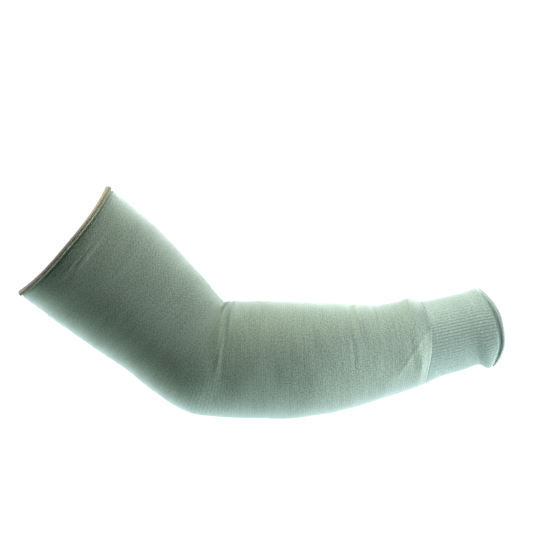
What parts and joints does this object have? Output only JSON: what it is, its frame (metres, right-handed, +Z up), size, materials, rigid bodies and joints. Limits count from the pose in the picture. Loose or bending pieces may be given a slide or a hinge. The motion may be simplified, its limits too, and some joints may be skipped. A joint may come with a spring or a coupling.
{
  "type": "cut resistant sleeve",
  "caption": "Knitted protective arm sleeve, bent at the elbow, with an overlocked elastic top edge and a rib-knit wrist cuff ending in a rolled welt.",
  "frame": {"origin": "middle of the arm inside the sleeve at the bend of the elbow", "axes": "+X toward the hand, +Z up on the inner side of the forearm, Y across the arm, with the near side of the picture at -Y"},
  "size_m": [0.4282, 0.1064, 0.2047],
  "materials": {
    "edge_thread": "cream and grey-green overlock thread over elastic, matt",
    "plain_knit": "fine plain knit, pale grey-green flecked yarn, matt with a soft fuzz",
    "rib_knit": "narrow rib knit of the same yarn, matt",
    "welt_knit": "rolled edge of the rib knit, paler, matt"
  },
  "bodies": {
    "root": {"top_edge": "edge_thread", "sleeve_body": "plain_knit", "wrist_cuff": "rib_knit", "cuff_welt": "welt_knit"}
  },
  "joints": []
}
